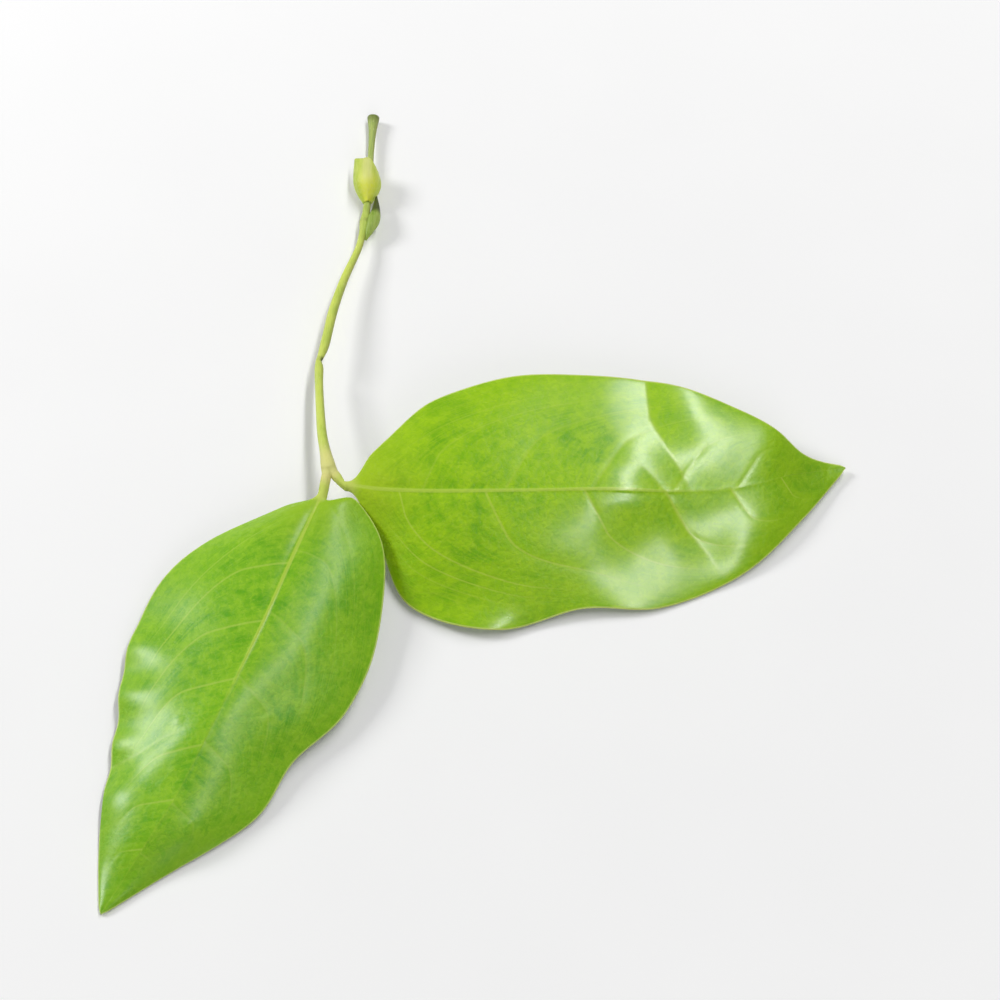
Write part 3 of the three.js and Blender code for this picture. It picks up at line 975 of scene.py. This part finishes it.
def under_finish(name, tones):
    """Matt, paler lower face with raised veins."""
    finish, tree, shader, millimetres = new_finish(name)
    blade = fact(tree, "blade")
    along = parts_of(tree, blade)[0]
    roundness = parts_of(tree, fact(tree, "stalk"))[0]
    veins = use_group(tree, VEINS, {"Blade": blade, "Veins": fact(tree, "veins"), "Width": 0.4})
    net = use_group(tree, NET, {"Blade": blade, "Mesh size": MESH_SIZE})
    mottle = use_group(tree, MOTTLE, {"Position": millimetres, "Patch size": 4.0})

    green = mixed(tree, mottle["Clouds"], tones["under_deep"], tones["under"])
    green = layered(tree, green, [
        (mottle["Patches"], 0.4, tones["under_light"]),
        (net["Small net"], 0.22, tones["under_deep"]),
        (net["Large net"], 0.4, tones["under_vein"]),
        (veins["Loops"], 0.35, tones["under_vein"]),
        (veins["Side veins"], 0.8, tones["under_vein"]),
        (veins["Midrib"], fade(tree, along, 40, 120, 0.95, 0.6), tones["midrib"]),
        # pale margin tone, partly a painted highlight where the edge catches light
        (veins["Rim"], 0.6, tones["rim"]),
        (fade(tree, roundness, *STALK_BLENDS), 1.0, tones["stalk"]),
        (fade(tree, along, *FORK_BLENDS), 1.0, tones["fork"]),
    ])
    height = summed(tree, veins["Side veins"], [(net["Large net"], 0.7), (net["Small net"], 0.4)])
    normal = relief(tree, height, depth_mm=0.07)
    feed(tree, shader, {"Base Color": green, "Roughness": 0.55, "IOR": 1.4, "Normal": normal})
    return finish


def stem_finish():
    """Pale yellow-green shoot: tan at the fork, dark in the joints, olive at the snapped end; painted light
    on its left side, painted shade on its right side and in the right of its joints.
    """
    finish, tree, shader, millimetres = new_finish("Melinjo shoot")
    along, around, joint = parts_of(tree, fact(tree, "stem"))
    fibres = use_group(tree, FIBRES, {"Position": millimetres, "Spacing": 0.28})
    tones = STEM_TONES

    colour = mixed(tree, fibres["Clouds"], tones["green"], tones["yellow"])
    pith = mixed(tree, fibres["Streaks"], tones["pith_dark"], tones["pith"])
    colour = layered(tree, colour, [
        # painted light: the shoot's left side is paled as if lit
        (fade(tree, around, 0.4, -0.9), 0.4, tones["painted_light_side"]),
        (fade(tree, along, 70, 104), 1.0, tones["older"]),
        (fibres["Streaks"], 0.35, tones["streak"]),
        (fibres["Pores"], 0.3, tones["pore"]),
        # a brownish tinge on the right side, deepened as painted shade
        (fade(tree, around, 0.35, 1.5), 0.62, tones["brown_and_painted_shade"]),
        (fade(tree, along, 9, 1.5), 0.75, tones["fork"]),
        # dark joints, deepened on the right side as painted shade
        (fade(tree, joint, 0.25, 0.9), fade(tree, around, -0.4, 0.9, 0.2, 0.95), tones["dark_joint_and_painted_shade"]),
        (fade(tree, along, 117.5, 120.8), 0.85, tones["end"]),
        (fade(tree, along, 120.97, 121.02), 1.0, pith),
    ])
    height = summed(tree, fibres["Pores"], [(fibres["Streaks"], 0.8)])
    feed(tree, shader, {
        "Base Color": colour,
        "Roughness": summed(tree, 0.4, [(fibres["Streaks"], 0.14)]),
        "IOR": 1.43,
        "Normal": relief(tree, height, depth_mm=0.05),
    })
    return finish


def young_finish(name, tones, dry_tip):
    """Tender new growth: fine ribs, brightest low down in its middle, greener towards its sides and lip.

    dry_tip is how much the tip takes its dried tone.
    """
    finish, tree, shader, millimetres = new_finish(name)
    share, reach, _ = parts_of(tree, fact(tree, "scoop"))
    aside = maths(tree, "ABSOLUTE", share)
    fibres = use_group(tree, FIBRES, {"Position": millimetres, "Spacing": 0.35})
    mottle = use_group(tree, MOTTLE, {"Position": millimetres, "Patch size": 1.4})

    colour = mixed(tree, fade(tree, aside, 0.1, 0.6), tones["bright"], tones["side"])
    colour = layered(tree, colour, [
        (fade(tree, reach, 0.35, 0.8), 0.85, tones["lip"]),
        (fade(tree, aside, 0.3, 0.06), fade(tree, reach, 0.3, 0.55, 0.0, 0.6), tones["fold"]),
        (fade(tree, share, -0.15, -0.6), 0.75, tones["left"]),
        (mottle["Patches"], 0.3, tones["light"]),
        (fibres["Streaks"], 0.3, tones["rib"]),
        (fade(tree, reach, 0.6, 0.76), dry_tip, tones["dry"]),
    ])
    height = summed(tree, fibres["Streaks"], [(mottle["Patches"], 0.5)])
    normal = relief(tree, height, depth_mm=0.045)
    feed(tree, shader, {"Base Color": colour, "Roughness": 0.42, "IOR": 1.42, "Normal": normal})
    return finish


RIGHT_TONES = {
    "deep": paint(106, 172, 0),
    "bright": paint(140, 196, 0),
    "light": paint(168, 212, 10),
    "vein": paint(180, 210, 66),
    "midrib": paint(184, 212, 74),
    # rim: paler margin plus a painted highlight on the edge
    "rim": paint(214, 228, 122),
    "base": paint(174, 202, 30),
    "tip": paint(118, 168, 2),
    "stalk": paint(196, 212, 96),
    "fork": paint(222, 218, 136),
    "under": paint(160, 190, 84),
    "under_deep": paint(140, 174, 66),
    "under_light": paint(176, 202, 104),
    "under_vein": paint(194, 212, 124),
}
LEFT_TONES = {
    "deep": paint(88, 164, 2),
    "bright": paint(122, 186, 4),
    "light": paint(152, 202, 34),
    "vein": paint(168, 204, 72),
    "midrib": paint(182, 210, 72),
    # rim: paler margin plus a painted highlight on the edge
    "rim": paint(208, 226, 124),
    "base": paint(158, 194, 40),
    "tip": paint(112, 168, 14),
    "stalk": paint(196, 212, 96),
    "fork": paint(222, 218, 136),
    "under": paint(152, 186, 86),
    "under_deep": paint(132, 168, 66),
    "under_light": paint(170, 198, 104),
    "under_vein": paint(188, 208, 122),
}
STEM_TONES = {
    "green": paint(182, 206, 72),
    "yellow": paint(206, 222, 88),
    # painted light laid on the shoot's left side
    "painted_light_side": paint(220, 232, 112),
    "older": paint(156, 178, 88),
    "streak": paint(216, 228, 122),
    "pore": paint(226, 228, 160),
    # brownish tinge of the shoot's right side, also painted shade
    "brown_and_painted_shade": paint(136, 134, 58),
    "fork": paint(226, 220, 140),
    # dark joint tone, deepened on the right as painted shade
    "dark_joint_and_painted_shade": paint(72, 84, 20),
    "end": paint(104, 118, 44),
    "pith": paint(178, 170, 104),
    "pith_dark": paint(120, 116, 58),
}
YOUNG_TONES = {
    "bright": paint(232, 238, 60),
    "side": paint(190, 212, 62),
    "lip": paint(188, 208, 74),
    "fold": paint(222, 222, 150),
    "left": paint(172, 202, 22),
    "light": paint(214, 222, 112),
    "rib": paint(226, 232, 130),
    "dry": paint(196, 196, 96),
}
BUD_TONES = {
    "bright": paint(164, 190, 78),
    "side": paint(136, 168, 52),
    "lip": paint(104, 138, 32),
    "fold": paint(150, 176, 66),
    "left": paint(160, 188, 72),
    "light": paint(180, 196, 100),
    "rib": paint(188, 204, 112),
    "dry": paint(58, 66, 14),
}


# ---- the sprig

def finished(piece, node, finishes):
    """Gives a piece its finishes, and lets it stand for its solid."""
    for finish in finishes:
        piece.data.materials.append(finish)
    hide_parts(node)
    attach(piece, "root")


VEINS, NET, MOTTLE, FIBRES = vein_group(), network_group(), mottle_group(), fibre_group()

right_upper = upper_finish(
    "Right leaf upper face", RIGHT_LEAF, RIGHT_TONES,
    patch_size=3.4, dullness=0.34, wax=0.8, wax_dullness=0.19,
)
left_upper = upper_finish(
    "Left leaf upper face", LEFT_LEAF, LEFT_TONES,
    patch_size=2.6, dullness=0.42, wax=0.45, wax_dullness=0.28,
)
right_under = under_finish("Right leaf lower face", RIGHT_TONES)
left_under = under_finish("Left leaf lower face", LEFT_TONES)

finished(stem_piece(), "stem", [stem_finish()])
finished(leaf_piece("melinjo_leaf_right", RIGHT_LEAF), "leaf_right", [right_upper, right_under])
finished(leaf_piece("melinjo_leaf_left", LEFT_LEAF), "leaf_left", [left_upper, left_under])
finished(young_leaf_piece(), "young_leaf", [young_finish("Young leaf", YOUNG_TONES, dry_tip=0.0)])
finished(bud_piece(), "bud", [young_finish("Side bud", BUD_TONES, dry_tip=0.9)])


# ---- table, light and camera

def table_top():
    """A wide pale table that glows white far from the sprig, where its edge would show."""
    deselect_all()
    bpy.ops.mesh.primitive_plane_add(size=TABLE_SIZE, location=(0, 0, 0))
    table = bpy.context.object
    table.name = "table_top"
    finish, tree, shader, millimetres = new_finish("Pale table")
    path = put(tree, "LightPath").outputs
    mirrored = maths(tree, "MAXIMUM", path["Is Glossy Ray"], path["Is Transmission Ray"])
    seen = maths(tree, "MAXIMUM", path["Is Camera Ray"], mirrored)
    from_sprig = put(tree, "VectorMath", {0: millimetres}, operation="LENGTH").outputs["Value"]
    glow = maths(tree, "MULTIPLY", seen, fade(tree, from_sprig, 60, 1400, 0.05, 0.95))
    feed(tree, shader, {
        "Base Color": mixed(tree, noise(tree, millimetres, 0.02, 2.0), *TABLE_TONES),
        "Roughness": 0.9,
        "Specular IOR Level": 0.0,
        "Emission Color": mixed(tree, glow, BLACK, WHITE),
        "Emission Strength": 1.0,
    })
    table.data.materials.append(finish)


def soft_light(name, place, width, length, power):
    """A panel aimed at the middle of the sprig, its length running from front to back."""
    deselect_all()
    bpy.ops.object.light_add(type="AREA", location=place)
    light = bpy.context.object
    light.name = name
    light.data.shape = "RECTANGLE"
    light.data.size = width
    light.data.size_y = length
    light.data.energy = power
    back = Vector(place).normalized()
    side = Vector((0, 1, 0)).cross(back).normalized()
    light.rotation_euler = Matrix((side, back.cross(side), back)).transposed().to_euler()


def studio():
    """A faint even light from all round, which the camera sees as white."""
    world = bpy.context.scene.world or bpy.data.worlds.new("Studio")
    bpy.context.scene.world = world
    world.use_nodes = True
    tree = world.node_tree
    tree.nodes.clear()
    seen = put(tree, "LightPath").outputs["Is Camera Ray"]
    strength = fade(tree, seen, 0.0, 1.0, WORLD_LEVEL, 1.0)
    backdrop = put(tree, "Background", {"Color": WHITE, "Strength": strength})
    put(tree, "OutputWorld", {"Surface": backdrop.outputs[0]})


def camera():
    deselect_all()
    bpy.ops.object.camera_add(location=CAMERA_PLACE)
    eye = bpy.context.object
    eye.name = "table_camera"
    eye.rotation_euler = (Vector(CAMERA_AIM) - Vector(CAMERA_PLACE)).to_track_quat("-Z", "Y").to_euler()
    eye.data.lens = CAMERA_LENS
    eye.data.clip_start = 0.01
    bpy.context.scene.camera = eye


table_top()
for panel in LIGHT_PANELS:
    soft_light(*panel)
studio()
camera()
bpy.context.scene.view_settings.view_transform = "Standard"
